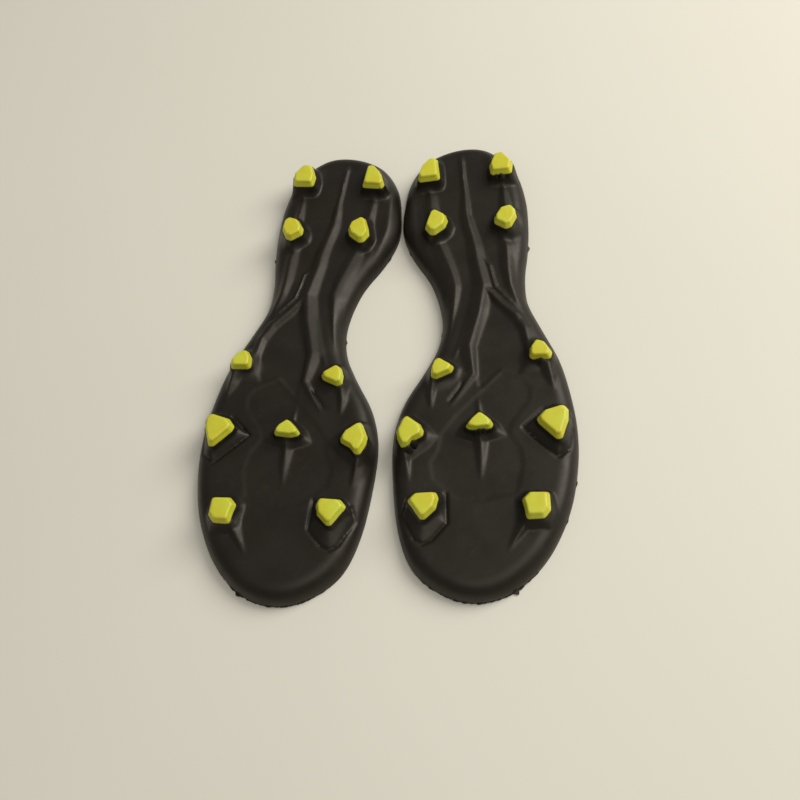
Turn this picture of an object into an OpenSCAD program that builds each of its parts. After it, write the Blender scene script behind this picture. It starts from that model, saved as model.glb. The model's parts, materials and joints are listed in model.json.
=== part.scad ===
// Pair of moulded outsoles for firm-ground soccer cleats, lying studs up.
// Each sole is one black plate with eleven studs; each stud ends in a separate yellow tip.
// Frame: +Z up, heels towards +Y, toes towards -Y, left foot at -X. The rims stand on z = 0.
// A sole is drawn in its own frame first: +X medial, +Y heel, origin midway along its length.

/* [Pair] */
// Distance between the middles of the two soles
pair_spacing = 92; // [92:1:140]
// Angle of each sole from the Y axis; the heels lean together
splay = 4; // [0:0.5:6]
// How much further back the right sole lies than the left one
right_set_back = 3.5; // [0:0.5:10]

/* [Plate] */
// Height of the plate's stud-side face above its rim
plate_z = 10; // [9:0.5:11]
// Width of the rim that the plate stands on
rim_w = 3; // [2.5:0.25:5]
// Depth of the bed on the foot side, inside the rim
bed_z = 3.8; // [2:0.2:4]

/* [Flex band] */
// Heel-side end of the band that bends under the ball of the foot
flex_rear_y = -67; // [-68:0.5:-66.5]
// Toe-side end of that band
flex_front_y = -82; // [-82.5:0.5:-80]

/* [Studs] */
// Height of the yellow part of a stud
cap_h = 4; // [3.5:0.5:5]
// Height of the tips of the four heel studs
heel_top_z = 20; // [19:0.5:23]
// Height of the tips of the two waist studs
waist_top_z = 17.5; // [17:0.5:20]
// Height of the tips of the five forefoot studs
fore_top_z = 18.5; // [18:0.5:21]
// Diameter of the peg that holds a tip in its stud
peg_d = 5; // [4:0.25:6]
// Length of that peg
peg_l = 6; // [4:0.5:6.5]

/* [Hidden] */
$fn = 48;

// Brings the middle of the pair's length to the origin
middle_y = -1.04;

black = "#2b2826";
lime = "#c9c44a";

// Plan outline of the rim. Both sides run from the heel end to the toe end
lateral_side = [[5, 138.5], [-12, 135.5], [-26, 120], [-31, 101], [-31.5, 81], [-30, 63],
                [-27.5, 46], [-28, 29], [-34.5, 11], [-42, -8], [-46, -27], [-48, -48], [-46.5, -70],
                [-40.5, -94], [-28.5, -116.5], [-12, -131.5]];
medial_side = [[23, 132], [34, 117.5], [38.2, 99], [39, 82], [33.5, 65], [23.5, 46], [18.5, 24],
               [20.5, 6], [28.5, -10], [39.5, -28], [45.5, -48], [46, -73], [43.5, -99],
               [36.5, -119], [21.5, -132], [5, -136.3]];
outline_steps = 3;

// Section of the plate's edge: how far in from the rim, and how high
crown = [[0, 0], [0, 1.5], [0.8, 4.4], [2.6, 6.9], [5.5, 8.6], [9.5, 9.6], [14, plate_z]];

// Draft of a tip, and of the black stud below it
tip_taper = 0.84;
tip_foot = 1.08;
stud_foot = 1.24;
stud_root_z = bed_z + 0.8;
peg_clear = 0.1;

// Outline of each tip half-way up
heel_rear_lateral = [[-24, 108.5], [-13, 108.5], [-12.5, 114.5], [-15.5, 122], [-20, 122.5],
                     [-25, 115]];
heel_rear_medial = [[16.5, 108.5], [27.5, 108], [28.5, 110.5], [26, 117.5], [21, 123], [17.5, 122.5]];
heel_front_lateral = [[-24.5, 82], [-22.5, 84.5], [-17, 83], [-13.5, 77.5], [-13.5, 74],
                      [-19, 70], [-22, 71], [-25, 76.5]];
heel_front_medial = [[14, 82], [19.5, 86], [21.5, 85], [24, 78.5], [25, 74.5], [22.5, 70.5],
                     [20, 70], [14.5, 74], [13, 78]];
waist_lateral = [[-30.5, -2], [-27.5, -6.5], [-27, -11], [-28, -12.5], [-37, -13],
                 [-38, -9.5], [-35, -4]];
waist_medial = [[12.5, -14], [20, -8.5], [22.5, -10.5], [24, -14.5], [24, -19], [21.5, -20],
                [14, -17]];
ball_lateral = [[-41.5, -41.5], [-32, -44], [-28.5, -48], [-29.5, -50.5], [-37, -59],
                [-39.5, -59], [-43, -50], [-43.5, -44.5]];
ball_centre = [[0, -42.5], [4, -46], [7, -49.5], [6, -51], [2.5, -52], [-5, -51.5], [-6, -49.5],
               [-4.5, -46.5]];
ball_medial = [[37, -41.5], [39, -43.5], [42, -50], [41.5, -54], [39.5, -58.5], [37, -58.5],
               [34.5, -55.5], [29.5, -53], [29, -50.5], [30.5, -47]];
front_lateral = [[-31, -88], [-22, -87.5], [-18.5, -91], [-19.5, -95.5], [-20, -100.5],
                 [-28, -100.5], [-31, -97]];
front_medial = [[23.5, -84.5], [33.5, -84.5], [37, -88], [35, -91], [31, -97.5], [29, -97.5],
                [24, -93], [22.5, -88]];
TIP_OUTLINES = [heel_rear_lateral, heel_rear_medial, heel_front_lateral, heel_front_medial,
                waist_lateral, waist_medial, ball_lateral, ball_centre, ball_medial,
                front_lateral, front_medial];
TIP_TOPS = [heel_top_z, heel_top_z, heel_top_z, heel_top_z, waist_top_z, waist_top_z,
            fore_top_z, fore_top_z + 0.5, fore_top_z, fore_top_z, fore_top_z];
REAR_STUDS = [0 : 8];
FRONT_STUDS = [9 : 10];

// Raised ribs between the studs: the stem from the heel and its two branches at the waist
rib_stem = [[4, 124], [1, 84], [-7, 42]];
rib_lateral = [[-7, 42], [-17, 24], [-26, 3]];
rib_medial = [[-7, 42], [2, 10], [11, -12]];
edge_lateral = [[-18, 64], [-16, 46], [-17, 34]];
edge_medial = [[20, 64], [11, 44], [8, 24]];
rib_h = 1.6;
rib_w = 5;
edge_h = 0.8;
edge_w = 3.5;

// Fins that run down from the studs: start, end and height at the start
fin_w = 3;
fin_end_y = flex_rear_y + 0.5;
REAR_FINS = [[[1, -50], [1, fin_end_y], 3.5], [[38, -56], [38, fin_end_y], 3],
             [[21, -18], [25, -31], 3], [[-34, -11], [-38, -25], 2.5]];
FRONT_FINS = [[[-21, -98], [-12, -112], 3], [[30.5, -95], [31.5, -107], 3]];

// Cutting blocks reach this far, past every edge of a sole
reach = 200;

function mean(points) = [for (axis = [0, 1]) sum([for (p = points) p[axis]]) / len(points)];
function sum(list, i = 0) = i == len(list) ? 0 : list[i] + sum(list, i + 1);
function wrap(list, i) = list[(i + len(list)) % len(list)];
function spline(a, b, c, d, t) =
    0.5 * (2 * b + (c - a) * t + (2 * a - 5 * b + 4 * c - d) * t * t
           + (3 * b - a - 3 * c + d) * t * t * t);
function closed_curve(points, steps) =
    [for (i = [0 : len(points) - 1]) for (k = [0 : steps - 1])
        spline(wrap(points, i - 1), points[i], wrap(points, i + 1), wrap(points, i + 2), k / steps)];
function inward(points, i) =
    let (along = wrap(points, i + 1) - wrap(points, i - 1))
    [-along.y, along.x] / norm(along);
function inset(points, d) = [for (i = [0 : len(points) - 1]) points[i] + d * inward(points, i)];
function raised(points, z) = [for (p = points) [p.x, p.y, z]];

rim = closed_curve(concat(lateral_side, [for (i = [len(medial_side) - 1 : -1 : 0]) medial_side[i]]),
                   outline_steps);
n_rim = len(rim);

// Triangles that close a ring, laid like a ladder between its lateral and its medial half
function ladder(first, n) =
    [for (i = [0 : n / 2 - 1])
        let (low = first + i, high = first + (n - i) % n, next_high = first + n - i - 1)
        each concat(i < n / 2 - 1 ? [[low, low + 1, next_high]] : [],
                    i > 0 ? [[low, next_high, high]] : [])];
function flipped(faces) = [for (f = faces) [f[2], f[1], f[0]]];

// Crowned solid of the whole plate, from the rim's foot to the stud-side face
module crowned_plate() {
    rings = len(crown);
    points = [for (c = crown) each raised(inset(rim, c[0]), c[1])];
    sides = [for (r = [0 : rings - 2]) for (i = [0 : n_rim - 1])
        let (j = (i + 1) % n_rim)
        each [[r * n_rim + i, (r + 1) * n_rim + i, (r + 1) * n_rim + j],
              [r * n_rim + i, (r + 1) * n_rim + j, r * n_rim + j]]];
    foot = ladder(0, n_rim);
    face = flipped(ladder((rings - 1) * n_rim, n_rim));
    polyhedron(points, concat(sides, foot, face), convexity = 6);
}

// Recess on the foot side, where the upper is bonded
module bed() {
    translate([0, 0, -1]) linear_extrude(bed_z + 1) polygon(inset(rim, rim_w));
}

// Black stud that carries a tip
module stud(i) {
    outline = TIP_OUTLINES[i];
    centre = mean(outline);
    seat_z = TIP_TOPS[i] - cap_h;
    translate([centre.x, centre.y, stud_root_z])
        linear_extrude(seat_z - stud_root_z, scale = tip_foot / stud_foot)
            polygon([for (p = outline) stud_foot * (p - centre)]);
}

// Socket that the tip's peg sits in
module socket(i) {
    centre = mean(TIP_OUTLINES[i]);
    translate([centre.x, centre.y, TIP_TOPS[i] - cap_h - peg_l - peg_clear])
        cylinder(d = peg_d + 2 * peg_clear, h = peg_l + 1);
}

// Yellow tip with its peg
module tip(i) {
    outline = TIP_OUTLINES[i];
    centre = mean(outline);
    seat_z = TIP_TOPS[i] - cap_h;
    color(lime) {
        translate([centre.x, centre.y, seat_z])
            linear_extrude(cap_h, scale = tip_taper)
                polygon([for (p = outline) tip_foot * (p - centre)]);
        translate([centre.x, centre.y, seat_z - peg_l])
            cylinder(d = peg_d, h = peg_l + 1);
    }
}

// Low ridge with sloping sides that follows a bent line
module ridge(line, h, w) {
    for (i = [0 : len(line) - 2]) {
        step = line[i + 1] - line[i];
        translate([line[i].x, line[i].y, plate_z])
            rotate([0, 0, atan2(step.y, step.x)]) rotate([90, 0, 90])
                linear_extrude(norm(step))
                    polygon([[-w / 2, -1], [w / 2, -1], [w / 2, 0], [w / 6, h], [-w / 6, h], [-w / 2, 0]]);
    }
}

// Sharp fin that runs down from a stud's flank and fades into the plate
module fin(from, to, h) {
    step = to - from;
    translate([from.x, from.y, plate_z - 1])
        rotate([0, 0, atan2(step.y, step.x)]) rotate([90, 0, 0])
            translate([0, 0, -fin_w / 2]) linear_extrude(fin_w)
                polygon([[0, 0], [norm(step), 0], [norm(step), 1], [0, h + 1]]);
}

module ribs() {
    ridge(rib_stem, rib_h, rib_w);
    ridge(rib_lateral, rib_h, rib_w);
    ridge(rib_medial, rib_h, rib_w);
    ridge(edge_lateral, edge_h, edge_w);
    ridge(edge_medial, edge_h, edge_w);
}

// Part of the plate between two cuts across the sole
module plate_between(y0, y1) {
    intersection() {
        crowned_plate();
        translate([-reach, y0, -1]) cube([2 * reach, y1 - y0, plate_z + 2]);
    }
}

module rear_plate() {
    color(black) difference() {
        union() {
            plate_between(flex_rear_y, reach);
            for (i = REAR_STUDS) stud(i);
            ribs();
            for (f = REAR_FINS) fin(f[0], f[1], f[2]);
        }
        bed();
        for (i = REAR_STUDS) socket(i);
    }
}

module flex_band() {
    color(black) difference() {
        plate_between(flex_front_y, flex_rear_y);
        bed();
    }
}

module front_plate() {
    color(black) difference() {
        union() {
            plate_between(-reach, flex_front_y);
            for (i = FRONT_STUDS) stud(i);
            for (f = FRONT_FINS) fin(f[0], f[1], f[2]);
        }
        bed();
        for (i = FRONT_STUDS) socket(i);
    }
}

module left_place() {
    translate([-pair_spacing / 2, middle_y - right_set_back / 2, 0])
        rotate([0, 0, -splay])
            children();
}

module right_place() {
    translate([pair_spacing / 2, middle_y + right_set_back / 2, 0])
        rotate([0, 0, splay]) mirror([1, 0, 0])
            children();
}

module left_rear_plate() left_place() rear_plate();
module left_flex_band() left_place() flex_band();
module left_front_plate() left_place() front_plate();
module left_tip(i) left_place() tip(i);
module right_rear_plate() right_place() rear_plate();
module right_flex_band() right_place() flex_band();
module right_front_plate() right_place() front_plate();
module right_tip(i) right_place() tip(i);

left_rear_plate();
left_flex_band();
left_front_plate();
left_tip(0);  // left_heel_rear_lateral_tip
left_tip(1);  // left_heel_rear_medial_tip
left_tip(2);  // left_heel_front_lateral_tip
left_tip(3);  // left_heel_front_medial_tip
left_tip(4);  // left_waist_lateral_tip
left_tip(5);  // left_waist_medial_tip
left_tip(6);  // left_ball_lateral_tip
left_tip(7);  // left_ball_centre_tip
left_tip(8);  // left_ball_medial_tip
left_tip(9);  // left_front_lateral_tip
left_tip(10);  // left_front_medial_tip
right_rear_plate();
right_flex_band();
right_front_plate();
right_tip(0);  // right_heel_rear_lateral_tip
right_tip(1);  // right_heel_rear_medial_tip
right_tip(2);  // right_heel_front_lateral_tip
right_tip(3);  // right_heel_front_medial_tip
right_tip(4);  // right_waist_lateral_tip
right_tip(5);  // right_waist_medial_tip
right_tip(6);  // right_ball_lateral_tip
right_tip(7);  // right_ball_centre_tip
right_tip(8);  // right_ball_medial_tip
right_tip(9);  // right_front_lateral_tip
right_tip(10);  // right_front_medial_tip
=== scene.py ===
import json
import math

import bmesh
import bpy
import numpy as np
from mathutils import Matrix, Vector
from mathutils.geometry import delaunay_2d_cdt
from mathutils.kdtree import KDTree


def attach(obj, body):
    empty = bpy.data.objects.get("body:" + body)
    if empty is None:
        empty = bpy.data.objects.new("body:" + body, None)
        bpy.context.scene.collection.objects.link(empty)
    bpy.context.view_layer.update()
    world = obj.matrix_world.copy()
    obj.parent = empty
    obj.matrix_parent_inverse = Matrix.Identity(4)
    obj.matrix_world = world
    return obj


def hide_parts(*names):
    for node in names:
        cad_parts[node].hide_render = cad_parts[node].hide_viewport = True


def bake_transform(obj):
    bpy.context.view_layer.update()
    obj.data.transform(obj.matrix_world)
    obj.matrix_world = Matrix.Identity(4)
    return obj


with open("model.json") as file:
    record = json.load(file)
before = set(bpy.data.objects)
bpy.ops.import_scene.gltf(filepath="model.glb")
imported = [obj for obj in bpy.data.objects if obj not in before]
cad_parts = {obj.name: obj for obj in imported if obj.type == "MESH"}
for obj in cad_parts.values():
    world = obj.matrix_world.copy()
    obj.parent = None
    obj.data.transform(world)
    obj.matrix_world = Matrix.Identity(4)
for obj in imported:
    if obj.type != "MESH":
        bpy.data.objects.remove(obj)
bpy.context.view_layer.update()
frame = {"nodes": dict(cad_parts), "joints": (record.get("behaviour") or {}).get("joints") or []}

# Lengths here are in millimetres in a sole's own frame: x medial, y towards the heel, z up through
# the studs. Sole.place() turns them into metres in the row's frame.
MM = 0.001
SIDES = ("left", "right")
PLATE_PARTS = ("rear_plate", "flex_band", "front_plate")
REAR_STUDS = ("heel_rear_lateral", "heel_rear_medial", "heel_front_lateral", "heel_front_medial",
              "waist_lateral", "waist_medial", "ball_lateral", "ball_centre", "ball_medial")
FRONT_STUDS = ("front_lateral", "front_medial")

# The plate and its tips as part.scad builds them
FLEX_Y = -74.5            # hinge line of the flex band
BAND_HALF = 7.5           # half the length of the flex band
PLATE_Z = 10              # height of the face
RIM_Z = 1.5               # the rim's side is upright up to here
BED_Z = 3.8
CAP_HEIGHT = 4
TIP_TAPER = 0.84

# The visual face
CROWN_IN = 10             # how far in from the rim the face levels out
SOFTENING = 2             # rounds of easing of the face's edges
CREST = 0.15              # half width of a crest's flat top
PANEL_ROUND = 1.5         # corner rounding of a sunken panel

# The visual studs and tips
STEEP = 1.0               # width of the steep part of a stud's black flank
RIM_FADE = 1.2            # inset over which a stud's flank dies out at the rim
# Studs whose flanks meet the face at a crease
FACETED = ("ball_lateral", "ball_centre", "ball_medial", "front_lateral", "front_medial")
FLARE = 1.9               # how gently the flanks of the other studs run out
FOOT_ROUND = 1.4          # corner rounding of a stud's foot
TIP_ROUND = 2.0           # corner rounding of a tip
TIP_EDGE = 1.6            # rounding of a tip's top edge
TIP_CROWN = 0.1           # rise of a tip's top to its middle
SEAT_IN = 0.3             # how far the seat lies inside the tip's foot

# Mesh spacing
RIM_STEP = 0.8
TIP_STEP = 0.5
GRID_STEP = 0.8
BED_STEP = 2.2
STUD_STEP = 0.7

# Ridges: a bent crest line of (x, y, height, width of the lateral flank, of the medial flank)
RIDGES = {
    "stem": [(3.8, 130, 0, 0.8, 0.8), (3.8, 125, 1.4, 1.6, 1.5), (3.3, 110, 1.5, 1.8, 1.5),
             (2.8, 101, 1.5, 2.0, 1.7), (2.6, 95, 1.8, 2.4, 3.0), (2.2, 85, 2, 2.6, 4.4),
             (1.2, 78, 2.2, 3.4, 4.4), (0, 71, 2, 4.0, 4.0), (-1.2, 64, 2, 4.4, 4.4),
             (-2, 56, 2.2, 4.8, 5.0), (-3.2, 48, 2.4, 5.0, 5.2), (-5, 37, 2.7, 5.0, 6.0)],
    "medial branch": [(-5, 37, 2.6, 4.8, 6.0), (-2, 20, 2.5, 4.8, 6.3), (1, 10, 2.3, 4.2, 6.3),
                      (3.9, 0, 2.3, 3.4, 6.0), (3.2, -10, 2.1, 3.0, 4.6), (2.5, -17, 1.6, 2.2, 3.6),
                      (8, -25, 1, 1.8, 1.8), (13, -32, 0.5, 1.4, 1.4), (16, -36, 0, 0.6, 0.6)],
    "branch shoulder": [(0, 32, 0, 0.8, 1.2), (3.2, 19, 0.6, 1.2, 2.2), (8, 3, 0.7, 1.2, 2.6),
                        (12, -6, 0.4, 1.0, 2.0)],
    "lateral branch": [(-5, 37, 2.1, 3.0, 2.0), (-13, 25.5, 1.8, 3.4, 2.4), (-20.5, 17, 1.8, 4.0, 2.8),
                       (-25, 8, 1.8, 4.0, 2.8), (-26.5, -3, 1.6, 4.0, 2.6), (-26, -10, 1, 3.0, 2.0)],
    "branch twist": [(-4.5, 57, 0.3, 0.7, 0.7), (-8.8, 50, 1.4, 1.0, 1.0), (-10, 42, 1.5, 1.1, 1.1),
                     (-11.5, 35, 1.5, 1.2, 1.2), (-18, 27, 1.2, 1.2, 1.2), (-25, 19, 0, 0.6, 0.6)],
    "lateral edge": [(-17, 69, 1, 3.0, 3.0), (-18.7, 62, 1.8, 3.6, 4.6), (-18.7, 47, 2, 3.6, 4.4),
                     (-19.5, 37, 1.6, 3.0, 3.2), (-22, 28, 0.8, 2.0, 2.0), (-24, 21, 0, 1.0, 1.0)],
    "medial edge": [(18.8, 70, 1.2, 3.0, 4.0), (17.5, 65, 1.7, 4.2, 5.6), (13.2, 52, 1.8, 3.5, 6.2),
                    (11, 44, 1.8, 3.0, 6.2), (10, 38, 1.8, 2.8, 6.0), (10.5, 32, 1.6, 2.4, 5.2),
                    (12, 22, 1.2, 1.7, 4.0), (14, 12, 0.7, 1.2, 3.0), (16, 3, 0, 0.8, 2.0)],
    "rear lateral skirt": [(-15.5, 132, 0, 2.0, 4.0), (-15, 126, 1.0, 3.0, 6.3), (-15, 110, 1.3, 3.0, 6.3),
                           (-14, 105, 0, 2.0, 4.0)],
    "rear medial skirt": [(17, 132, 0, 2.0, 2.0), (17, 127, 0.8, 2.2, 3.0), (17.4, 116, 1.1, 2.4, 3.0),
                          (18.6, 109, 1.4, 4.6, 3.0), (18.6, 105, 0, 3.0, 2.0)],
    "medial shoulder": [(33, 112, 0, 1.5, 1.5), (33.3, 102, 0.7, 3.0, 3.0), (33.5, 84, 0.7, 3.0, 3.0),
                        (30.5, 66, 0.5, 2.6, 3.0), (26, 54, 0, 1.5, 2.0)],
    "centre fin": [(0.3, -49, 4.2, 3.4, 3.4), (0.3, -57, 2.6, 3.4, 3.6), (0.6, -66, 1.3, 2.4, 2.7),
                   (1.5, -78, 0, 0.5, 0.5)],
    "centre heelward fin": [(0.3, -47, 2.6, 2.0, 2.0), (0.6, -38, 0.9, 1.4, 1.4), (1, -30, 0, 0.6, 0.6)],
    "waist medial fin": [(20, -15, 4.0, 2.0, 3.2), (23.4, -20, 3.2, 2.0, 3.2), (24.6, -27, 2.0, 2.0, 3.2),
                         (25, -36, 0, 0.5, 0.7)],
    "waist lateral fin": [(-33, -9, 4.2, 3.0, 4.6), (-36, -15, 3.2, 3.0, 4.6), (-37, -21, 2.2, 2.6, 3.8),
                          (-38, -29, 0, 0.5, 0.8)],
    "ball medial fin": [(36.5, -51, 4.2, 2.2, 6.0), (38.8, -56, 3.8, 2.2, 6.0), (38.2, -62, 2.8, 2.0, 6.6),
                        (37.6, -68, 1.5, 1.6, 5.0), (37, -76, 0, 0.5, 1.0)],
    "front lateral fin": [(-24, -94, 4.2, 3.0, 6.0), (-21, -98.5, 3.4, 2.6, 5.6),
                          (-17.5, -104, 2.0, 2.2, 4.0), (-13.5, -109.5, 0.9, 1.4, 2.2),
                          (-10, -115, 0, 0.5, 0.6)],
    "heel lateral fin": [(-19.8, 78, 4.2, 3.2, 3.2), (-19.5, 85, 3.2, 3.2, 3.2), (-19.3, 91, 2.2, 3.2, 3.4),
                         (-19, 100, 1.1, 2.2, 2.6), (-18.8, 107, 0, 0.6, 0.6)],
    "heel medial fin": [(20, 78, 4.2, 3.2, 4.8), (22, 85, 3.2, 3.2, 4.8), (22.3, 91, 2.2, 3.2, 5.0),
                        (22.6, 101, 1.3, 3.0, 4.4), (23, 109, 0, 0.6, 1.0)],
}

# Foot of each stud, where its black flank meets the plate
STUD_FEET = {
    "heel_rear_lateral": [(-28, 105), (-20, 103), (-11, 105), (-10, 116), (-12.5, 126), (-21, 127),
                          (-29, 117)],
    "heel_rear_medial": [(31, 105), (24, 103), (14.5, 105), (13.5, 118), (15, 127), (23, 128), (31, 116)],
    "heel_front_lateral": [(-28, 72), (-24, 65), (-16, 65.5), (-9, 73), (-9, 77), (-12, 85), (-19, 90),
                           (-27, 87), (-29, 78)],
    "heel_front_medial": [(9, 78), (10, 73), (15, 68), (20, 65), (26, 68), (28, 76), (26, 86), (21, 92),
                          (13, 87)],
    "waist_lateral": [(-40, -18), (-30, -19.5), (-22, -18.5), (-20.5, -9), (-24, -2), (-29, 3), (-36, -1),
                      (-41, -10)],
    "waist_medial": [(7.5, -13), (9, -19), (15.5, -26), (24, -27), (28, -22), (27.5, -14), (22, -5),
                     (14, -7)],
    "ball_lateral": [(-31, -41), (-22, -49.5), (-38, -66), (-43, -61), (-44.6, -50), (-43.5, -40),
                     (-38, -37.5)],
    "ball_centre": [(-13.5, -54), (-9, -46.5), (0, -39.5), (9, -45), (13.5, -52.5), (2, -57)],
    "ball_medial": [(21, -51.5), (27, -45), (34, -38.5), (41, -39), (44.5, -48), (44.5, -58), (38.5, -66),
                    (27, -58)],
    "front_lateral": [(-33.5, -86), (-20, -84.5), (-15, -88), (-15.5, -100), (-21, -105), (-31, -104),
                      (-34.5, -96)],
    "front_medial": [(20, -83), (20, -98), (27, -105.5), (31, -107.5), (34, -105), (40.3, -92),
                     (36.5, -85), (28, -82)],
}

# Grooves: half width, depth and line
GROOVES = {
    "ball lateral": (1.1, 1.3, [(-32, -40), (-21, -49.5), (-37.5, -67), (-43.6, -62), (-45.4, -53),
                                (-45.2, -45)]),
    "front medial": (1.2, 1.3, [(18.8, -83), (18.8, -98.5), (26.5, -106.8), (31, -108.8), (35, -106),
                                (41.4, -92), (38, -85)]),
    "medial tail": (1.1, 1.1, [(8.5, -21.5), (11, -25.5), (15.5, -31.5)]),
}

# Sunken panels of the face: depth, bevel width and outline
PANELS = {
    "waist": (0.6, 2.0, [(-7, 34), (-13, 25), (-24, 14), (-25.5, 0), (-24, -12), (-21, -19),
                         (-12, -14.5), (0, -26), (1.5, -14), (1, 0)]),
    "ball": (0.35, 2.2, [(-12, -16.5), (-22, -22), (-26, -27), (-25, -35), (-16, -46), (-14, -52),
                        (-19, -61), (-20, -70), (-16, -85), (0, -88), (12, -87), (19, -81),
                        (25, -75), (26, -66), (22, -59), (20, -50), (12, -40), (0, -28.5)]),
}

# Nubs of black on the toe-side edge of a tip's foot: x, radius and height above the seat
NUBS = {
    ("right", "ball_medial"): [(34, 1.9, 2.6), (36.5, 1.8, 2.3), (38.5, 1.3, 1.4)],
    ("right", "ball_centre"): [(-1.6, 1.3, 1.9), (0.6, 1.5, 2.4), (2.8, 1.1, 1.4)],
    ("right", "waist_lateral"): [(-32.4, 1.7, 2.2), (-30.6, 1.1, 1.3)],
    ("right", "heel_rear_lateral"): [(-18.5, 1.5, 1.5), (-15.8, 1.1, 1.2)],
    ("left", "heel_rear_medial"): [(27, 1.2, 1.1)],
}


class Sole:
    """Where one sole lies: its own frame, read from its hinge."""

    def __init__(self, side):
        hinge = next(j for j in frame["joints"] if j["name"] == side + "_flex")
        across = np.array(hinge["axis"][:2])
        self.side = side
        self.mirrored = side == "right"
        self.medial = -across if self.mirrored else across
        self.heel = np.array([-across[1], across[0]])
        self.origin = np.array(hinge["pos_m"][:2]) - FLEX_Y * MM * self.heel

    def place(self, points):
        """Row frame, in metres, of points in the sole's frame."""
        points = np.atleast_2d(points) * MM
        flat = self.origin + points[:, :1] * self.medial + points[:, 1:2] * self.heel
        return np.column_stack([flat, points[:, 2]])

    def own(self, points):
        """Sole's frame, in millimetres, of points in the row frame."""
        flat = points[:, :2] - self.origin
        return np.column_stack([flat @ self.medial, flat @ self.heel, points[:, 2]]) / MM

    def cad_points(self, name):
        mesh = frame["nodes"][f"{self.side}_{name}"].data
        points = np.empty(3 * len(mesh.vertices))
        mesh.vertices.foreach_get("co", points)
        return self.own(points.reshape(-1, 3))


# ---------- plane geometry ----------

def resample(line, step, closed=True):
    """Points every step along a line, all of them on it."""
    line = np.asarray(line, float)
    if closed:
        line = np.vstack([line, line[:1]])
    run = np.concatenate([[0], np.cumsum(np.linalg.norm(np.diff(line, axis=0), axis=1))])
    count = max(int(round(run[-1] / step)), 3)
    at = np.linspace(0, run[-1], count, endpoint=False) if closed else np.linspace(0, run[-1], count + 1)
    return np.column_stack([np.interp(at, run, line[:, k]) for k in range(line.shape[1])])


def smooth_closed(points, step):
    """A closed Catmull-Rom curve through the points, resampled evenly."""
    a, b, c, d = (np.roll(points, k, axis=0) for k in (1, 0, -1, -2))
    t = np.linspace(0, 1, 12, endpoint=False)[:, None, None]
    curve = 0.5 * (2 * b + (c - a) * t + (2 * a - 5 * b + 4 * c - d) * t ** 2
                   + (3 * b - a - 3 * c + d) * t ** 3)
    return resample(curve.transpose(1, 0, 2).reshape(-1, 2), step)


def normals_in(ring):
    """Unit vectors that point into a closed anticlockwise ring."""
    along = np.roll(ring, -1, axis=0) - np.roll(ring, 1, axis=0)
    along /= np.linalg.norm(along, axis=1)[:, None]
    return np.column_stack([-along[:, 1], along[:, 0]])


def anticlockwise(ring):
    x, y = ring[:, 0], ring[:, 1]
    area = np.sum(x * np.roll(y, -1) - y * np.roll(x, -1))
    return ring if area > 0 else ring[::-1]


def round_corners(polygon, radius, steps=5):
    """The polygon with an arc at each corner, shorter where its sides are short."""
    polygon = np.asarray(polygon, float)
    before, after = np.roll(polygon, 1, axis=0), np.roll(polygon, -1, axis=0)
    out = []
    for p, a, b in zip(polygon, before, after):
        u, v = a - p, b - p
        lu, lv = np.linalg.norm(u), np.linalg.norm(v)
        u, v = u / lu, v / lv
        half = math.acos(np.clip(u @ v, -1, 1)) / 2
        cut = min(radius / math.tan(half), 0.45 * lu, 0.45 * lv)
        start, end = p + u * cut, p + v * cut
        for t in np.linspace(0, 1, steps):
            out.append((1 - t) ** 2 * start + 2 * t * (1 - t) * p + t ** 2 * end)
    return np.array(out)


def line_distance(points, line):
    """Distance to an open line, the signed side (+ on the left) and the place along it in vertices."""
    best = np.full(len(points), np.inf)
    side = np.zeros(len(points))
    place = np.zeros(len(points))
    for i in range(len(line) - 1):
        a, step = line[i], line[i + 1] - line[i]
        t = np.clip((points - a) @ step / (step @ step), 0, 1)
        off = points - a - t[:, None] * step
        far = np.hypot(off[:, 0], off[:, 1])
        near = far < best - 1e-9
        best[near] = far[near]
        side[near] = np.sign(step[0] * off[near, 1] - step[1] * off[near, 0])
        place[near] = i + t[near]
    return best, side, place


def polygon_distance(points, ring):
    """Signed distance to a closed ring: negative inside."""
    closed = np.vstack([ring, ring[:1]])
    far, _, _ = line_distance(points, closed)
    x, y = points[:, 0], points[:, 1]
    inside = np.zeros(len(points), bool)
    for (x0, y0), (x1, y1) in zip(closed[:-1], closed[1:]):
        if y0 != y1:
            inside ^= ((y0 > y) != (y1 > y)) & (x < (x1 - x0) * (y - y0) / (y1 - y0) + x0)
    return np.where(inside, -far, far)


def near_box(points, ring, margin):
    low, high = ring.min(axis=0)[:2] - margin, ring.max(axis=0)[:2] + margin
    return np.all((points > low) & (points < high), axis=1)


def soft_step(t):
    t = np.clip(t, 0, 1)
    return t * t * (3 - 2 * t)


def waves(points, size, seed, octaves=3):
    """Smooth seeded noise about 0, made of sine waves in random directions."""
    rng = np.random.default_rng(seed)
    total = np.zeros(len(points))
    for k in range(octaves):
        for _ in range(4):
            angle, phase = rng.uniform(0, 2 * math.pi, 2)
            pull = np.array([math.cos(angle), math.sin(angle)]) * 2 * math.pi * 2 ** k / size
            total += np.sin(points[:, :2] @ pull + phase) / 2 ** k
    return total / 4


# ---------- outlines read from the CAD nodes ----------

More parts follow.
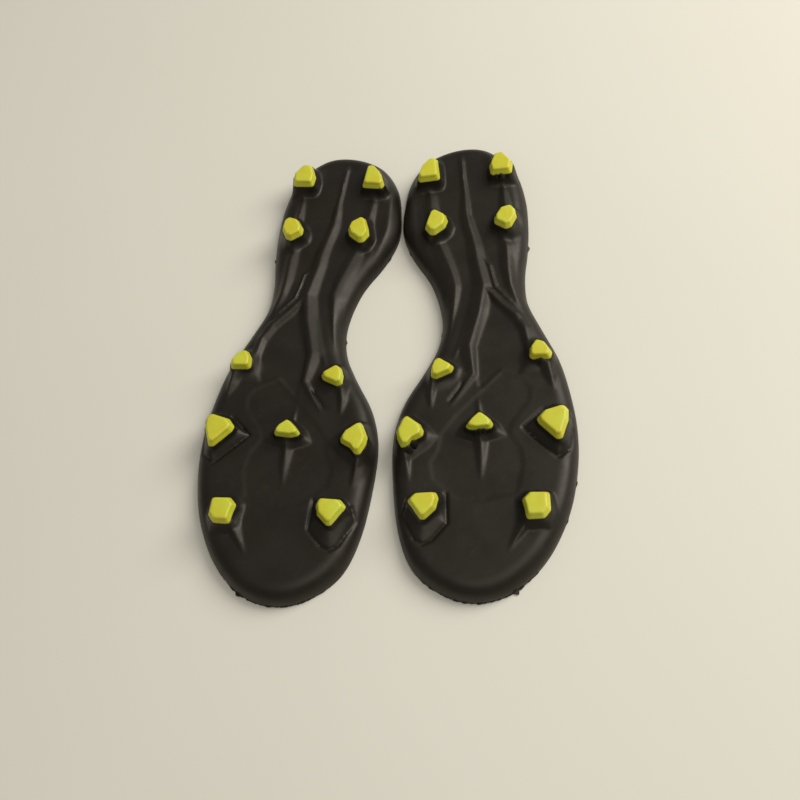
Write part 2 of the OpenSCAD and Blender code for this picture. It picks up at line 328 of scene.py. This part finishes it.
def rim_outline(sole):
    """The plate's outline, from the CAD plates' points at the top of the upright rim."""
    points = np.vstack([sole.cad_points(part) for part in PLATE_PARTS])
    ring = points[np.abs(points[:, 2] - RIM_Z) < 0.01][:, :2]
    ring = np.unique(np.round(ring, 2), axis=0)
    ring = [p for p in ring if min(abs(p[1] - FLEX_Y - BAND_HALF), abs(p[1] - FLEX_Y + BAND_HALF)) > 0.02]
    left = list(range(len(ring)))
    chain = [max(left, key=lambda i: ring[i][1])]
    left.remove(chain[0])
    while left:
        last = ring[chain[-1]]
        chain.append(min(left, key=lambda i: np.hypot(*(ring[i] - last))))
        left.remove(chain[-1])
    return smooth_closed(anticlockwise(np.array([ring[i] for i in chain])), RIM_STEP)


class Stud:
    """One stud: its tip's outline and heights, from the tip's CAD node, and its own foot."""

    def __init__(self, sole, name):
        self.name = name
        points = sole.cad_points(name + "_tip")
        self.top_z = points[:, 2].max()
        self.seat_z = self.top_z - CAP_HEIGHT
        top = np.unique(np.round(points[points[:, 2] > self.top_z - 0.01][:, :2], 3), axis=0)
        self.centre = top.mean(axis=0)
        turn = np.arctan2(top[:, 1] - self.centre[1], top[:, 0] - self.centre[0])
        corners = self.centre + (top[np.argsort(turn)] - self.centre) / TIP_TAPER
        self.outline = round_corners(corners, TIP_ROUND)
        even = resample(self.outline, TIP_STEP)
        self.seat = even - SEAT_IN * normals_in(even)
        self.foot = anticlockwise(round_corners(STUD_FEET[name], FOOT_ROUND))


# ---------- the plate's face ----------

def crown(inset):
    """Height of the crowned face at a distance in from the rim."""
    t = np.clip(inset / CROWN_IN, 0, 1)
    return RIM_Z + (PLATE_Z - RIM_Z) * (1 - (1 - t) ** 2.6) ** 0.62


def ridge_height(points, line):
    """Height of a ridge or fin above the face."""
    line = np.array(line, float)
    out = np.zeros(len(points))
    near = near_box(points, line, line[:, 3:].max() + 0.2)
    far, side, place = line_distance(points[near], line[:, :2])
    at = np.arange(len(line))
    height, lateral, medial = (np.interp(place, at, line[:, k]) for k in (2, 3, 4))
    flank = np.where(side < 0, lateral, medial)
    out[near] = height * np.clip((CREST + flank - far) / flank, 0, 1)
    return out


def add_plateau(z, points, ring, height, bevel):
    near = near_box(points, ring, bevel)
    d = polygon_distance(points[near], ring)
    z[near] += height * np.clip(0.5 - d / bevel, 0, 1)


def stud_share(out, inner, ease):
    """Share of a stud's height left at a distance out from its seat and in from its foot's outline."""
    steep = 1 - 0.5 * np.clip(out / STEEP, 0, 1)
    past = np.clip(out - STEEP, 0, None)
    down = past / (past + np.clip(inner, 0, None) + 1e-6)
    return np.where(out < STEEP, steep, 0.5 * (1 - down) ** ease)


def relief_height(points, inset, studs, seed):
    """Height of the ribs, panels and stud flanks over the crown, at points inset from the rim."""
    face = crown(inset)
    z = face + 0.04 * waves(points, 23, seed) * soft_step(inset / 4)
    for depth, bevel, outline in PANELS.values():
        add_plateau(z, points, round_corners(outline, PANEL_ROUND), -depth, bevel)
    raised = np.zeros(len(points))
    for line in RIDGES.values():
        raised = np.maximum(raised, ridge_height(points, line))
    z += raised * soft_step(inset / 5)
    for half, depth, line in GROOVES.values():
        line = np.array(line, float)
        near = near_box(points, line, half)
        far, _, _ = line_distance(points[near], line)
        z[near] -= depth * soft_step(1 - far / half)
    for stud in studs:
        near = near_box(points, stud.foot, 1)
        out = polygon_distance(points[near], stud.seat)
        inner = -polygon_distance(points[near], stud.foot)
        ease = 1 if stud.name in FACETED else FLARE
        share = stud_share(np.clip(out, 0, None), inner, ease) * soft_step(inset[near] / RIM_FADE)
        flank = z[near] + (stud.seat_z - z[near]) * share
        z[near] = np.where((inner > 0) | (out < STEEP), np.maximum(z[near], flank), z[near])
    return z - face


def add_nubs(z, points, stud, nubs):
    """Lumps of black that cover the toe-side edge of a tip's foot."""
    for x, radius, high in nubs:
        edge = stud.seat[np.abs(stud.seat[:, 0] - x) < 0.6]
        far = np.hypot(points[:, 0] - x, points[:, 1] - edge[:, 1].min()) / radius
        out = polygon_distance(points, stud.seat)
        z[:] = np.where((far < 1) & (out > -0.1), np.maximum(z, stud.seat_z + high * (1 - far ** 2)), z)


def thinned(points, kept, gap):
    """The points that are at least gap away from those already kept."""
    tree = KDTree(len(kept))
    for i, (x, y) in enumerate(kept):
        tree.insert((x, y, 0), i)
    tree.balance()
    return np.array([p for p in points if tree.find((p[0], p[1], 0))[2] >= gap]).reshape(-1, 2)


def hexagonal_grid(ring, step):
    low, high = ring.min(axis=0), ring.max(axis=0)
    rows = np.arange(low[1], high[1], step * 0.866)
    columns = np.arange(low[0], high[0], step)
    x, y = np.meshgrid(columns, rows)
    x[1::2] += step / 2
    return np.column_stack([x.ravel(), y.ravel()])


def nearest_on(ring, points):
    fine = resample(ring, 0.3)
    tree = KDTree(len(fine))
    for i, (x, y) in enumerate(fine):
        tree.insert((x, y, 0), i)
    tree.balance()
    return np.array([tree.find((x, y, 0))[2] for x, y in points])


def on_ring(ring, points):
    """Whether each point is one of the ring's own vertices."""
    tree = KDTree(len(ring))
    for i, (x, y) in enumerate(ring):
        tree.insert((x, y, 0), i)
    tree.balance()
    return np.array([tree.find((x, y, 0))[2] for x, y in points]) < 0.001


def triangles_inside(ring, points):
    """Delaunay triangles of ring and points, within the ring."""
    n = len(ring)
    edges = [(i, (i + 1) % n) for i in range(n)]
    everything = np.vstack([ring, points])
    verts, _, faces, *_ = delaunay_2d_cdt([Vector(p) for p in everything], edges, [], 1, 1e-7)
    return np.array([tuple(v) for v in verts]), faces


def stud_side(rim, studs, side, seed):
    """Vertices and triangles of the plate's stud side."""
    inward = normals_in(rim)
    rings = [rim + d * inward for d in (0.15, 0.4, 0.8, 1.3, 1.9, 2.6, 3.4, 4.3)]
    fixed = [np.vstack([rim] + rings)]
    for stud in studs:
        around = resample(stud.seat, STUD_STEP)
        out = -normals_in(around)
        fixed.append(np.vstack([around + d * out for d in (-0.3, 0, 0.4, 0.8, STEEP, STEEP + 0.5)]))
        fixed.append(resample(stud.foot, STUD_STEP))
    for line in RIDGES.values():
        fixed.append(ridge_points(np.array(line, float)))
    for _, bevel, outline in PANELS.values():
        around = resample(anticlockwise(round_corners(outline, PANEL_ROUND)), STUD_STEP)
        out = normals_in(around)
        fixed.append(np.vstack([around + d * out for d in (-bevel / 2, bevel / 2)]))
    for half, _, line in GROOVES.values():
        fixed.append(resample(np.array(line, float), STUD_STEP, closed=False))
    fixed.append(hexagonal_grid(rim, GRID_STEP))
    kept = fixed[0]
    for points in fixed[1:]:
        inside = polygon_distance(points, rim[::3]) < -4.6
        kept = np.vstack([kept, thinned(points[inside], kept, 0.42)])
    verts, faces = triangles_inside(rim, kept[len(rim):])
    inset = nearest_on(rim, verts)
    inset[on_ring(rim, verts)] = 0
    held = inset < 1
    for stud in studs:
        near = near_box(verts, stud.seat, 1)
        held[near] |= polygon_distance(verts[near], stud.seat) < 0.5
    z = crown(inset) + softened(relief_height(verts, inset, studs, seed), verts, faces, held)
    for stud in studs:
        add_nubs(z, verts, stud, NUBS.get((side, stud.name), []))
    z[inset == 0] = RIM_Z
    return np.column_stack([verts, z]), faces


def softened(z, verts, faces, held):
    """Heights eased towards their neighbours' mean, as a mould's rounded edges are, but where held.

    Neighbours count by the cotangents of the angles facing their edge, so that even slopes stay even.
    """
    faces = np.array(faces)
    near, far, weight = [], [], []
    for k in range(3):
        corner, left, right = faces[:, k], faces[:, k - 1], faces[:, k - 2]
        u, v = verts[left] - verts[corner], verts[right] - verts[corner]
        cotangent = (u * v).sum(axis=1) / np.maximum(np.abs(u[:, 0] * v[:, 1] - u[:, 1] * v[:, 0]), 1e-9)
        near += [left, right]
        far += [right, left]
        weight += [cotangent, cotangent]
    near, far, weight = np.concatenate(near), np.concatenate(far), np.concatenate(weight)
    total = np.maximum(np.bincount(near, weight, minlength=len(z)), 1e-6)
    for _ in range(SOFTENING):
        mean = np.bincount(near, weight * z[far], minlength=len(z)) / total
        z = np.where(held, z, (z + mean) / 2)
    return z


def ridge_points(line):
    """Points along a ridge's crest edges and feet."""
    fine = resample(line, STUD_STEP, closed=False)
    along = np.gradient(fine[:, :2], axis=0)
    along /= np.linalg.norm(along, axis=1)[:, None]
    left = np.column_stack([-along[:, 1], along[:, 0]])
    at, lateral, medial = fine[:, :2], fine[:, 3:4], fine[:, 4:5]
    return np.vstack([at, at + left * medial, at - left * lateral])


def bed_side(rim, studs):
    """Rings and triangles of the foot side: the rim's foot, the bed's wall and the bed."""
    inward = normals_in(rim)
    section = [(0.5, 0), (1.6, 0), (2.7, 0), (2.95, 0.25), (3.1, 1.4), (3.25, 3.0), (3.6, 3.6),
               (4.4, BED_Z)]
    rings = [np.column_stack([rim + d * inward, np.full(len(rim), z)]) for d, z in section]
    edge = rings[-1][:, :2]
    fixed = [edge]
    cores = [stud.seat for stud in studs]
    for ring in cores:
        around = resample(ring, 1.0)
        out = normals_in(around)
        fixed.append(np.vstack([around + d * out for d in (0.6, 1.4)]))
    fixed.append(hexagonal_grid(edge, BED_STEP))
    kept = edge
    for points in fixed[1:]:
        inside = polygon_distance(points, edge[::3]) < -0.8
        kept = np.vstack([kept, thinned(points[inside], kept, 0.5)])
    verts, faces = triangles_inside(edge, kept[len(edge):])
    z = np.full(len(verts), float(BED_Z))
    for ring in cores:
        near = near_box(verts, ring, 1)
        d = polygon_distance(verts[near], ring)
        z[near] += 0.9 * np.clip((-0.6 - d) / 0.8, 0, 1)
    z[on_ring(edge, verts)] = BED_Z
    return rings, np.column_stack([verts, z]), faces


def flash(rim, seed):
    """How far the moulding flash stands out round the rim: ragged at the toe, in nubs elsewhere."""
    rng = np.random.default_rng(seed)
    toe = soft_step((-118 - rim[:, 1]) / 14)
    ragged = np.abs(waves(rim, 7, seed)) ** 1.5 + 0.5 * rng.random(len(rim)) ** 3
    out = 0.1 + 0.9 * toe * ragged
    nubs = [(37, 69, 1.6), (-30, 66, 0.9), (-46, -78, 0.7), (-12, -131, 1.4), (19, 14, 0.6),
            (-38, -97, 0.7)]
    for x, y, high in nubs:
        far = np.hypot(rim[:, 0] - x, rim[:, 1] - y)
        out += high * np.exp(-(far / 1.4) ** 2) * (0.6 + 0.8 * rng.random(len(rim)))
    return out


def mesh_object(name, verts, faces, sole, sharp=50):
    """A closed object from vertices in the sole's frame, its doubles merged and normals outward."""
    mesh = bpy.data.meshes.new(name)
    mesh.from_pydata([tuple(v) for v in sole.place(verts)], [], faces)
    bm = bmesh.new()
    bm.from_mesh(mesh)
    bmesh.ops.remove_doubles(bm, verts=bm.verts, dist=0.01 * MM)
    bmesh.ops.dissolve_degenerate(bm, dist=0.001 * MM, edges=bm.edges)
    bmesh.ops.recalc_face_normals(bm, faces=bm.faces)
    open_edges = sum(not e.is_manifold for e in bm.edges)
    if open_edges:
        print(name, "has", open_edges, "open edges")
    bm.to_mesh(mesh)
    bm.free()
    mesh.polygons.foreach_set("use_smooth", [True] * len(mesh.polygons))
    mesh.set_sharp_from_angle(angle=math.radians(sharp))
    obj = bpy.data.objects.new(name, mesh)
    bpy.context.scene.collection.objects.link(obj)
    return obj


def band(first, second, n):
    """Quads between two rings of n vertices."""
    return [(first + i, first + (i + 1) % n, second + (i + 1) % n, second + i) for i in range(n)]


def build_plate(sole, rim, studs, seed):
    top, top_faces = stud_side(rim, studs, sole.side, seed)
    rings, bed, bed_faces = bed_side(rim, studs)
    out = -normals_in(rim)
    proud = flash(rim, seed + 5)[:, None]
    level = np.ones(len(rim))
    wall = [np.column_stack([rim, RIM_Z * level]),
            np.column_stack([rim, 0.95 * level]),
            np.column_stack([rim + out * proud, 0.55 * level]),
            np.column_stack([rim + out * proud * 0.9, 0.2 * level]),
            np.column_stack([rim, 0 * level])]
    verts = [top, bed]
    faces = [tuple(f) for f in top_faces] + [tuple(i + len(top) for i in f) for f in bed_faces]
    base = len(top) + len(bed)
    n = len(rim)
    for k, ring in enumerate(wall + rings):
        verts.append(ring)
        if k:
            faces += band(base + (k - 1) * n, base + k * n, n)
    return mesh_object(sole.side + "_outsole", np.vstack(verts), faces, sole)


# ---------- the tips ----------

def build_tip(sole, name, stud, seed):
    """A yellow tip: drafted sides, rounded edges and a slightly crowned top."""
    foot = resample(stud.outline, TIP_STEP)
    reach = np.linalg.norm(foot - stud.centre, axis=1).mean()
    height = stud.top_z - stud.seat_z - TIP_EDGE
    rings = []

    def add_ring(share, z, inset):
        scale = (1 - (1 - TIP_TAPER) * share) * (1 - inset / reach)
        flat = stud.centre + (foot - stud.centre) * scale
        rings.append(np.column_stack([flat, np.full(len(foot), z)]))

    for share in (-0.1, 0, 0.25, 0.5, 0.75):
        add_ring(max(share, 0), stud.seat_z + height * share, 0)
    for turn in np.radians((0, 15, 30, 45, 60, 75, 88)):
        z = stud.top_z - TIP_CROWN - TIP_EDGE * (1 - math.sin(turn))
        add_ring(1, z, TIP_EDGE * (1 - math.cos(turn)))
    rim = rings[-1]
    for shrink in (0.8, 0.6, 0.4, 0.2):
        flat = stud.centre + (rim[:, :2] - stud.centre) * shrink
        rings.append(np.column_stack([flat, np.full(len(foot), stud.top_z - TIP_CROWN * shrink)]))
    verts = np.vstack(rings + [[[*stud.centre, stud.top_z]]])
    n = len(foot)
    faces = [tuple(reversed(range(n)))]
    for k in range(len(rings) - 1):
        faces += band(k * n, (k + 1) * n, n)
    last = (len(rings) - 1) * n
    faces += [(last + i, last + (i + 1) % n, len(verts) - 1) for i in range(n)]
    above = np.clip((verts[:, 2] - stud.seat_z) / 2, 0, 1)
    verts[:, 2] += 0.04 * (waves(verts, 9, seed) - 1) * above
    verts[:, 0] += 0.06 * waves(verts[:, [1, 2]], 8, seed + 1)
    return mesh_object(f"{sole.side}_{name}_stud_tip", verts, faces, sole, sharp=70)


# ---------- materials ----------

class Nodes:
    """Short calls for building a node material."""

    def __init__(self, name):
        self.material = bpy.data.materials.new(name)
        self.material.use_nodes = True
        self.tree = self.material.node_tree
        self.shader = self.tree.nodes["Principled BSDF"]
        self.place = self.add("ShaderNodeTexCoord").outputs["Object"]

    def add(self, kind, **values):
        node = self.tree.nodes.new(kind)
        for name, value in values.items():
            setattr(node, name, value)
        return node

    def link(self, source, target):
        self.tree.links.new(source, target)

    def noise(self, scale, detail=4, rough=0.5):
        node = self.add("ShaderNodeTexNoise")
        node.inputs["Scale"].default_value = scale
        node.inputs["Detail"].default_value = detail
        node.inputs["Roughness"].default_value = rough
        self.link(self.place, node.inputs["Vector"])
        return node.outputs["Fac"]

    def ramp(self, factor, stops):
        node = self.add("ShaderNodeValToRGB")
        band = node.color_ramp.elements
        while len(band) < len(stops):
            band.new(0.5)
        for element, (at, colour) in zip(band, stops):
            element.position = at
            element.color = (*colour, 1)
        self.link(factor, node.inputs["Fac"])
        return node.outputs["Color"]

    def mix(self, factor, a, b, blend="MIX"):
        node = self.add("ShaderNodeMix", data_type="RGBA", blend_type=blend)
        if isinstance(factor, float):
            node.inputs["Factor"].default_value = factor
        else:
            self.link(factor, node.inputs["Factor"])
        for socket, value in ((node.inputs[6], a), (node.inputs[7], b)):
            if isinstance(value, tuple):
                socket.default_value = (*value, 1)
            else:
                self.link(value, socket)
        return node.outputs[2]

    def span(self, factor, low, high, out_low, out_high):
        node = self.add("ShaderNodeMapRange")
        ends = {"From Min": low, "From Max": high, "To Min": out_low, "To Max": out_high}
        for name, value in ends.items():
            node.inputs[name].default_value = value
        self.link(factor, node.inputs["Value"])
        return node.outputs["Result"]

    def bump(self, height, strength, distance, under=None):
        node = self.add("ShaderNodeBump")
        node.inputs["Strength"].default_value = strength
        node.inputs["Distance"].default_value = distance
        self.link(height, node.inputs["Height"])
        if under is not None:
            self.link(under, node.inputs["Normal"])
        return node.outputs["Normal"]


def black_tpu():
    m = Nodes("black_tpu_moulded")
    patches = m.noise(38, 5, 0.55)
    colour = m.ramp(patches, [(0.3, (0.0085, 0.0068, 0.0045)), (0.7, (0.0135, 0.011, 0.0078))])
    dust = m.ramp(m.noise(160, 8, 0.7), [(0.56, (0, 0, 0)), (0.78, (1, 1, 1))])
    m.link(m.mix(m.span(dust, 0, 1, 0, 0.08), colour, (0.12, 0.112, 0.1)), m.shader.inputs["Base Color"])
    m.link(m.span(m.noise(70, 5, 0.6), 0.3, 0.7, 0.36, 0.52), m.shader.inputs["Roughness"])
    sink = m.bump(m.noise(120, 2, 0.4), 0.25, 0.0004)
    grain = m.bump(m.noise(2600, 3, 0.6), 0.18, 0.00008, sink)
    m.link(grain, m.shader.inputs["Normal"])
    m.shader.inputs["Specular IOR Level"].default_value = 0.38
    m.shader.inputs["Specular Tint"].default_value = (1.0, 0.93, 0.80, 1)
    return m.material


def lime_tpu():
    m = Nodes("lime_tpu_moulded")
    tint = m.ramp(m.noise(90, 3, 0.5), [(0.3, (0.63, 0.56, 0.024)), (0.7, (0.63, 0.67, 0.052))])
    m.link(tint, m.shader.inputs["Base Color"])
    m.link(m.span(m.noise(200, 4, 0.6), 0.3, 0.7, 0.34, 0.5), m.shader.inputs["Roughness"])
    m.link(m.bump(m.noise(1500, 3, 0.6), 0.15, 0.0001), m.shader.inputs["Normal"])
    m.shader.inputs["Subsurface Weight"].default_value = 0.15
    m.shader.inputs["Subsurface Radius"].default_value = (0.004, 0.003, 0.001)
    m.shader.inputs["Subsurface Scale"].default_value = 0.5
    return m.material


def floor_paint():
    m = Nodes("pale_floor")
    tone = m.ramp(m.noise(3, 3, 0.5), [(0.3, (0.78, 0.75, 0.635)), (0.7, (0.81, 0.78, 0.665))])
    m.link(tone, m.shader.inputs["Base Color"])
    m.shader.inputs["Roughness"].default_value = 0.7
    return m.material


# ---------- the pair ----------

def build_sole(side, seed, black, lime):
    sole = Sole(side)
    rim = rim_outline(sole)
    studs = []
    for number, name in enumerate(REAR_STUDS + FRONT_STUDS):
        stud = Stud(sole, name)
        studs.append(stud)
        tip = build_tip(sole, name, stud, seed + number)
        tip.data.materials.append(lime)
        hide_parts(f"{side}_{name}_tip")
        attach(tip, side + ("_rear" if name in REAR_STUDS else "_front"))
    plate = build_plate(sole, rim, studs, seed)
    plate.data.materials.append(black)
    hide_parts(*(f"{side}_{part}" for part in PLATE_PARTS))
    start, end = sole.place([[0, FLEX_Y + BAND_HALF, 4], [0, FLEX_Y - BAND_HALF, 4]])
    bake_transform(plate)
    print(side, len(plate.data.polygons), "faces in the outsole")


def build_stage():
    bpy.ops.mesh.primitive_plane_add(size=6, location=(0, 0, -0.0002))
    floor = bpy.context.object
    floor.name = "floor"
    floor.data.materials.append(floor_paint())


def area_light(name, place, aim, size, power, colour):
    light = bpy.data.lights.new(name, "AREA")
    light.shape = "DISK"
    light.size = size
    light.energy = power
    light.color = colour
    obj = bpy.data.objects.new(name, light)
    bpy.context.scene.collection.objects.link(obj)
    obj.location = place
    obj.rotation_euler = (Vector(aim) - Vector(place)).to_track_quat("-Z", "Y").to_euler()


def build_lights():
    area_light("window", (1.05, 0.62, 1.05), (0, 0, 0), 1.2, 21, (1.0, 0.98, 0.95))
    area_light("ceiling", (0.3, -0.4, 1.8), (0, 0, 0), 1.5, 7, (1.0, 0.98, 0.95))
    world = bpy.data.worlds.new("room")
    world.use_nodes = True
    world.node_tree.nodes["Background"].inputs["Color"].default_value = (1.0, 0.97, 0.93, 1)
    world.node_tree.nodes["Background"].inputs["Strength"].default_value = 0.25
    bpy.context.scene.world = world


def build_camera():
    azimuth, elevation, roll, distance = math.radians(17.3), math.radians(60.4), math.radians(-15.7), 0.578
    target = Vector((0.0055, -0.0258, 0))
    back = Vector((math.sin(azimuth) * math.cos(elevation), -math.cos(azimuth) * math.cos(elevation),
                   math.sin(elevation)))
    camera = bpy.data.objects.new("camera", bpy.data.cameras.new("camera"))
    bpy.context.scene.collection.objects.link(camera)
    camera.data.lens = 49.5
    camera.data.sensor_width = 36
    camera.data.clip_start = 0.01
    turn = (-back).to_track_quat("-Z", "Y").to_matrix().to_4x4() @ Matrix.Rotation(roll, 4, "Z")
    camera.matrix_world = Matrix.Translation(target + back * distance) @ turn
    bpy.context.scene.camera = camera


black = black_tpu()
lime = lime_tpu()
for number, side in enumerate(SIDES):
    build_sole(side, 11 + 100 * number, black, lime)
build_stage()
build_lights()
build_camera()
bpy.context.scene.view_settings.view_transform = "Standard"
